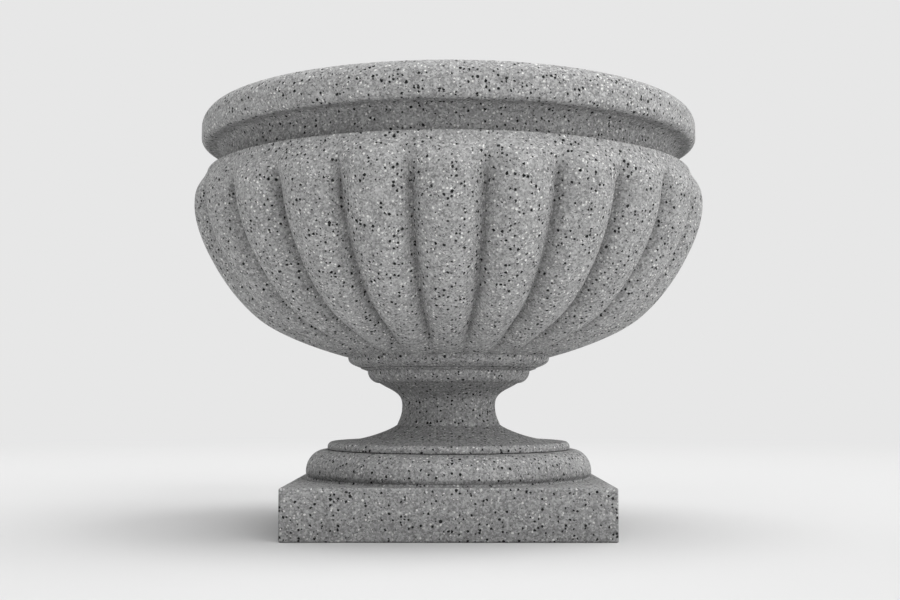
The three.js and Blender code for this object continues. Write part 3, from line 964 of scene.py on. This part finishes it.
def add_hollow(outline, b):
    """Carries the bowl's outline on over the rim, down the hollow and into the sump."""
    floor = BOWL_BASE + b.floor_height
    ledge = floor - b.floor_fall - b.ledge_depth
    wall_foot = RIM_TOP - b.wall_foot_depth
    recess = b.sump_radius + b.ledge_width
    outline.line(b.mouth_radius + b.mouth_round, RIM_TOP)
    outline.round(b.mouth_radius, RIM_TOP - b.mouth_round, upright=False, steps=SMALL_ROUND_STEPS)
    outline.line(b.wall_foot_radius, wall_foot)
    outline.curve(
        (b.wall_foot_radius - b.wall_foot_tuck, wall_foot - b.wall_foot_ease),
        (b.floor_radius + b.floor_run, floor + b.floor_rise),
        (b.floor_radius, floor),
        CURVE_STEPS,
    )
    outline.line(recess, ledge + b.ledge_depth)
    outline.line(recess, ledge)
    outline.line(b.sump_radius, ledge)
    outline.line(b.sump_radius, ledge - b.sump_depth)
    outline.line(bore_radius(), ledge - b.sump_depth)


def smooth_rise(distance, reach):
    """0 to 1 over a reach, level at both ends."""
    t = min(max(distance / reach, 0.0), 1.0)
    return t * t * (3 - 2 * t)


def gadroon_section(across, roundness, bottom):
    """How far a gadroon's side lies under its crest, as an arc: 0 on the crest, 1 in the groove.

    across runs from 0 on the crest to 1 in the groove, and bottom is how wide the groove's
    rounded bottom is on that scale.
    """

    def rise(u):
        return math.sqrt(roundness**2 - u * u)

    eased = 1 - math.hypot(1 - across, bottom)
    return (roundness - rise(eased)) / (roundness - rise(1 - bottom))


def crowd_grooves(bm, count):
    """Turns each column of vertices towards its nearest groove, where the section is steepest."""
    pitch = FULL_TURN / count
    for v in bm.verts:
        turn = math.atan2(v.co.x, -v.co.y)
        crest = round(turn / pitch) * pitch
        across = 2 * (turn - crest) / pitch
        crowded = crest + math.sin(across * math.pi / 2) * pitch / 2
        v.co.rotate(Matrix.Rotation(crowded - turn, 3, "Z"))


def press_gadroons(bm, b):
    """Presses the grooves between the gadroons into the spun bowl, square to its surface."""
    collar, _, _, shoulder, _ = bowl_heights(b)
    top_edge = Vector((b.shoulder_radius, shoulder))
    bottom = b.groove_width * b.gadroon_count / (FULL_TURN * b.belly_radius)
    crowd_grooves(bm, b.gadroon_count)
    bm.normal_update()
    moves = []
    for v in bm.verts:
        radius = math.hypot(v.co.x, v.co.y)
        outside = v.normal.x * v.co.x + v.normal.y * v.co.y > 0
        if not outside or not collar < v.co.z < shoulder or radius < b.collar_radius:
            continue
        top = smooth_rise((top_edge - Vector((radius, v.co.z))).length, b.gadroon_top_fade)
        foot = smooth_rise(radius - b.collar_radius, b.gadroon_foot_fade)
        fade = b.groove_foot_share + (1 - b.groove_foot_share) * foot
        depth = b.gadroon_depth * top * fade * radius / b.belly_radius
        position = math.atan2(v.co.x, -v.co.y) * b.gadroon_count / FULL_TURN
        across = min(2 * abs(position - round(position)), 1.0)
        moves.append((v, v.normal * depth * gadroon_section(across, b.gadroon_roundness, bottom)))
    for v, move in moves:
        v.co -= move


class URN_OT_bowl(bpy.types.Operator):
    """Build the bowl with its gadroons, neck, rim, planting hollow and drain sump"""

    bl_idname = "urn.bowl"
    bl_label = "Bowl"

    def execute(self, context):
        b = context.scene.urn_bowl
        bm = spun(bowl_outline(b), b.gadroon_count * GADROON_STEPS, soft=CASTING_ARRIS)
        press_gadroons(bm, b)
        piece = object_from(bm, "bowl_casting")
        hole_top = high("bowl_dowel_1").z + FIT_GAP
        dowel_holes(piece, ("bowl_dowel_1", "bowl_dowel_2"), BOWL_BASE - OVERCUT, hole_top)
        finish_piece(piece, "granite_cast_stone", "urn", "bowl")
        return {"FINISHED"}


# Beds, dowels, tie and drain -----------------------------------------------------------


def turned_ring(node, soft):
    """A ring or tube of a node's own size, with its edges softened."""
    inner, outer = low_radius(node), high(node).x
    outline = Outline(inner, low(node).z)
    outline.line(outer, low(node).z)
    outline.line(outer, high(node).z)
    outline.line(inner, high(node).z)
    return spun(outline, HARDWARE_STEPS, soft)


def turned_pin(node, soft):
    """A pin of a node's own size, made on the axis and moved to its hole."""
    radius = (high(node).y - low(node).y) / 2
    outline = Outline(0.0, low(node).z)
    outline.line(radius, low(node).z)
    outline.line(radius, high(node).z)
    outline.line(0.0, high(node).z)
    bm = spun(outline, HARDWARE_STEPS // 2, soft, closed=False)
    centre = (low(node) + high(node)) / 2
    bmesh.ops.translate(bm, vec=(centre.x, centre.y, 0.0), verts=bm.verts)
    return bm


def hexagon_bar(flats, bottom, top):
    """A hexagonal bar that stands upright, with two flats square to Y."""
    bm = bmesh.new()
    corner = flats / math.sqrt(3)
    stand = Matrix.Translation((0, 0, (top + bottom) / 2))
    bmesh.ops.create_cone(
        bm,
        cap_ends=True,
        segments=6,
        radius1=corner,
        radius2=corner,
        depth=top - bottom,
        matrix=stand @ Matrix.Rotation(math.pi / 6, 4, "Z"),
    )
    return bm


def hexagon_piece(name, flats, bottom, top, hole, countersink):
    """A nut: the hexagon, turned down at its corners, with its hole cut and countersunk."""
    piece = object_from(hexagon_bar(flats, bottom, top), name)
    reach = flats / math.sqrt(3) - flats / 2
    turn = Outline(0.0, bottom)
    turn.line(flats / 2 - CORNER_TURN * reach, bottom)
    turn.line(flats / 2 + reach, bottom + CORNER_SLOPE * reach)
    turn.line(flats / 2 + reach, top - CORNER_SLOPE * reach)
    turn.line(flats / 2 - CORNER_TURN * reach, top)
    turn.line(0.0, top)
    carve(piece, spun(turn, HARDWARE_STEPS * 2, closed=False), "INTERSECT")
    bore = Outline(0.0, bottom - OVERCUT)
    bore.line(hole + countersink, bottom - OVERCUT)
    bore.line(hole, bottom - OVERCUT + countersink)
    bore.line(hole, top + OVERCUT - countersink)
    bore.line(hole + countersink, top + OVERCUT)
    bore.line(0.0, top + OVERCUT)
    carve(piece, spun(bore, HARDWARE_STEPS, closed=False))
    return piece


def nut_piece(node, hole, countersink):
    """A nut of a node's own size."""
    flats = high(node).y - low(node).y
    return hexagon_piece(f"{node}_steel", flats, low(node).z, high(node).z, hole, countersink)


class URN_OT_beds(bpy.types.Operator):
    """Build the bedding rings, the gaskets and the dowels"""

    bl_idname = "urn.beds"
    bl_label = "Beds and dowels"

    def execute(self, context):
        f = context.scene.urn_fittings
        for node in ("socle_bed_ring", "bowl_bed_ring", "flange_gasket", "clamp_gasket"):
            piece = object_from(turned_ring(node, f.ring_edge), f"{node}_rubber")
            finish_piece(piece, "butyl_rubber", "urn", node)
        for node in ("socle_dowel_1", "socle_dowel_2", "bowl_dowel_1", "bowl_dowel_2"):
            piece = object_from(turned_pin(node, f.dowel_edge), f"{node}_steel")
            finish_piece(piece, "satin_stainless", "urn", node)
        return {"FINISHED"}


class URN_OT_tie(bpy.types.Operator):
    """Build the tie tube with its flange, washer and nuts"""

    bl_idname = "urn.tie"
    bl_label = "Tie"

    def execute(self, context):
        f = context.scene.urn_fittings
        thread = low_radius("clamp_washer")
        for node in ("drain_tube", "clamp_washer"):
            piece = object_from(turned_ring(node, f.steel_edge), f"{node}_steel")
            finish_piece(piece, "satin_stainless", "urn", node)
        for node in ("clamp_nut", "lock_nut"):
            finish_piece(nut_piece(node, thread, f.countersink), "satin_stainless", "urn", node)
        finish_piece(self.flange(f, thread), "satin_stainless", "urn", "drain_flange")
        return {"FINISHED"}

    def flange(self, f, thread):
        bottom, top = low("drain_flange").z, high("drain_flange").z
        plate_top = bottom + f.flange_plate
        outline = Outline(thread, bottom)
        outline.line(high("drain_flange").x, bottom)
        outline.line(high("drain_flange").x, plate_top)
        outline.line(thread, plate_top)
        piece = object_from(spun(outline, HARDWARE_STEPS, f.steel_edge), "drain_flange_steel")
        hub = hexagon_piece("hub", f.hub_flats, plate_top - OVERCUT, top, thread, f.countersink)
        hub_mesh = bmesh.new()
        hub_mesh.from_mesh(hub.data)
        bpy.data.objects.remove(hub)
        carve(piece, hub_mesh, "UNION")
        return piece


class URN_OT_grate(bpy.types.Operator):
    """Build the lift-out grate with its knob and nut"""

    bl_idname = "urn.grate"
    bl_label = "Grate"

    def execute(self, context):
        f = context.scene.urn_fittings
        finish_piece(self.plate(f), "satin_stainless", "grate", "drain_grate")
        finish_piece(self.knob(f), "satin_stainless", "grate", "grate_knob")
        nut = nut_piece("knob_nut", f.spindle_hole, f.countersink / 2)
        finish_piece(nut, "satin_stainless", "grate", "knob_nut")
        return {"FINISHED"}

    def plate(self, f):
        bottom, top = low("drain_grate").z, high("drain_grate").z
        outline = Outline(f.spindle_hole, bottom)
        outline.line(high("drain_grate").x, bottom)
        outline.line(high("drain_grate").x, top)
        outline.line(f.spindle_hole, top)
        piece = object_from(spun(outline, CASTING_STEPS, f.steel_edge), "drain_grate_steel")
        for number in range(f.slot_count):
            turn = FULL_TURN * number / f.slot_count
            carve(piece, slot_mesh(f, bottom - OVERCUT, top + OVERCUT, turn))
        return piece

    def knob(self, f):
        seat, top = high("drain_grate").z + SEAT_GAP, high("grate_knob").z
        reach = high("grate_knob").x
        middle = (seat + top) / 2
        foot, neck, brim = (reach * share for share in (f.knob_foot, f.knob_neck, f.knob_brim))
        edge = f.knob_edge
        outline = Outline(0.0, low("grate_knob").z)
        outline.line(f.spindle_radius, low("grate_knob").z)
        outline.line(f.spindle_radius, seat)
        outline.line(foot, seat)
        outline.curve((neck, seat + edge), (neck, middle - edge), (brim, middle))
        outline.round(reach, middle + edge, upright=False)
        outline.round(0.0, top, upright=True)
        return object_from(spun(outline, HARDWARE_STEPS, closed=False), "grate_knob_steel")


def slot_mesh(f, bottom, top, turn):
    """A round-ended slot's cutter that runs outwards from the axis."""
    bm = bmesh.new()
    bmesh.ops.create_circle(bm, cap_ends=True, segments=HOLE_STEPS, radius=f.slot_width / 2)
    for v in bm.verts:
        v.co.x += f.slot_end - f.slot_width / 2 if v.co.x > 0 else f.slot_start + f.slot_width / 2
    bmesh.ops.translate(bm, vec=(0, 0, bottom), verts=bm.verts)
    raised = bmesh.ops.extrude_face_region(bm, geom=bm.faces[:])
    tops = [v for v in raised["geom"] if isinstance(v, bmesh.types.BMVert)]
    bmesh.ops.translate(bm, vec=(0, 0, top - bottom), verts=tops)
    bmesh.ops.recalc_face_normals(bm, faces=bm.faces)
    bmesh.ops.rotate(bm, matrix=Matrix.Rotation(turn, 3, "Z"), verts=bm.verts)
    return bm


# Stage ---------------------------------------------------------------------------------


def backdrop_rays(tree):
    """1 for the rays that meet the plain backdrop: the camera's, and those that metal reflects."""
    path = add_node(tree, "ShaderNodeLightPath").outputs
    mirrored = math_node(tree, "ADD", path["Is Glossy Ray"], path["Is Transmission Ray"])
    return math_node(tree, "ADD", path["Is Camera Ray"], mirrored, clamp=True)


def floor_material(stage):
    """Pale seamless paper, matt: it takes the urn's shadow and fades into the backdrop."""
    material = bpy.data.materials.new("floor_paper")
    material.use_nodes = True
    tree = material.node_tree
    tree.nodes.clear()
    place = add_node(tree, "ShaderNodeTexCoord").outputs["Object"]
    reach = add_node(tree, "ShaderNodeVectorMath", links={0: place}, operation="LENGTH")
    fade = add_node(
        tree,
        "ShaderNodeMapRange",
        {"From Min": stage.fade_start, "From Max": stage.fade_end},
        {"Value": reach.outputs["Value"]},
        interpolation_type="SMOOTHSTEP",
    )
    drop = (*stage.backdrop_tone, 1.0)
    paper = add_node(tree, "ShaderNodeBsdfDiffuse", {"Color": (*stage.floor_tone, 1.0)}).outputs[0]
    glow = add_node(tree, "ShaderNodeEmission", {"Color": drop, "Strength": 1.0}).outputs[0]
    share = math_node(tree, "MULTIPLY", fade.outputs[0], backdrop_rays(tree))
    blend = add_node(tree, "ShaderNodeMixShader", links={0: share, 1: paper, 2: glow})
    add_node(tree, "ShaderNodeOutputMaterial", links={"Surface": blend.outputs[0]})
    return material


# Lamps far off: degrees round to the right from the front, degrees up, and strength.
STUDIO_LAMPS = {
    "top_lamp": (0, 90, 1.1),
    "right_lamp": (90, 60, 1.0),
    "left_lamp": (-90, 60, 0.3),
    "front_right_lamp": (35, 33, 0.9),
    "front_left_lamp": (-35, 33, 0.3),
    "low_right_lamp": (70, 8, 0.6),
    "back_right_lamp": (140, 33, 0.4),
    "back_left_lamp": (-140, 33, 0.3),
}


def studio_lamp(name, stage, around, up, strength):
    """A wide, far lamp, so that the light is soft and even over the floor."""
    data = bpy.data.lights.new(name, "SUN")
    data.energy = strength * stage.lamp_level
    data.angle = stage.lamp_spread
    lamp = bpy.data.objects.new(name, data)
    bpy.context.scene.collection.objects.link(lamp)
    lamp.rotation_euler = (math.radians(90 - up), 0.0, math.radians(around))
    lamp.location = lamp.rotation_euler.to_matrix() @ Vector((0.0, 0.0, LAMP_DISTANCE))


def studio_world(stage):
    """Soft light from all round, with the plain backdrop's colour where the camera sees it."""
    world = bpy.data.worlds.new("studio")
    bpy.context.scene.world = world
    world.use_nodes = True
    tree = world.node_tree
    tree.nodes.clear()
    white, drop = (1.0, 1.0, 1.0, 1.0), (*stage.backdrop_tone, 1.0)
    sky = add_node(tree, "ShaderNodeBackground", {"Color": white, "Strength": stage.sky_level})
    seen = add_node(tree, "ShaderNodeBackground", {"Color": drop, "Strength": 1.0})
    mix = add_node(
        tree,
        "ShaderNodeMixShader",
        links={0: backdrop_rays(tree), 1: sky.outputs[0], 2: seen.outputs[0]},
    )
    add_node(tree, "ShaderNodeOutputWorld", links={"Surface": mix.outputs[0]})


class URN_OT_stage(bpy.types.Operator):
    """Set the camera, the pale floor and the soft lamps"""

    bl_idname = "urn.stage"
    bl_label = "Stage"

    def execute(self, context):
        stage = context.scene.urn_stage
        data = bpy.data.cameras.new("camera")
        data.lens = stage.lens
        camera = bpy.data.objects.new("camera", data)
        context.scene.collection.objects.link(camera)
        camera.location = (stage.camera_side, -stage.camera_distance, stage.camera_height)
        camera.rotation_euler = (math.pi / 2 + stage.camera_tilt, 0.0, 0.0)
        context.scene.camera = camera

        bm = bmesh.new()
        bmesh.ops.create_circle(
            bm, cap_ends=True, segments=FLOOR_STEPS, radius=stage.floor_radius
        )
        floor = object_from(bm, "floor")
        floor.data.materials.append(floor_material(stage))
        studio_world(stage)
        for name, (around, up, strength) in STUDIO_LAMPS.items():
            studio_lamp(name, stage, around, up, strength)
        context.scene.view_settings.view_transform = "Standard"
        return {"FINISHED"}


class URN_PT_panel(bpy.types.Panel):
    """Lists the urn's builders"""

    bl_idname = "URN_PT_panel"
    bl_label = "Urn planter"
    bl_space_type = "VIEW_3D"
    bl_region_type = "UI"
    bl_category = "Urn"

    def draw(self, context):
        for builder in BUILDERS:
            self.layout.operator(builder.bl_idname)


SETTINGS = {
    "urn_plinth": PlinthSettings,
    "urn_socle": SocleSettings,
    "urn_bowl": BowlSettings,
    "urn_fittings": FittingSettings,
    "urn_stone": StoneSettings,
    "urn_stage": StageSettings,
}
BUILDERS = (
    URN_OT_plinth,
    URN_OT_socle,
    URN_OT_bowl,
    URN_OT_beds,
    URN_OT_tie,
    URN_OT_grate,
    URN_OT_stage,
)


def register():
    for cls in (*SETTINGS.values(), *BUILDERS, URN_PT_panel):
        bpy.utils.register_class(cls)
    for name, group in SETTINGS.items():
        setattr(bpy.types.Scene, name, PointerProperty(type=group))


def unregister():
    for name in SETTINGS:
        delattr(bpy.types.Scene, name)
    for cls in (URN_PT_panel, *reversed(BUILDERS), *SETTINGS.values()):
        bpy.utils.unregister_class(cls)


def main():
    register()
    bpy.ops.urn.plinth()
    bpy.ops.urn.socle()
    bpy.ops.urn.bowl()
    bpy.ops.urn.beds()
    bpy.ops.urn.tie()
    bpy.ops.urn.grate()
    bpy.ops.urn.stage()


if __name__ == "__main__":
    main()
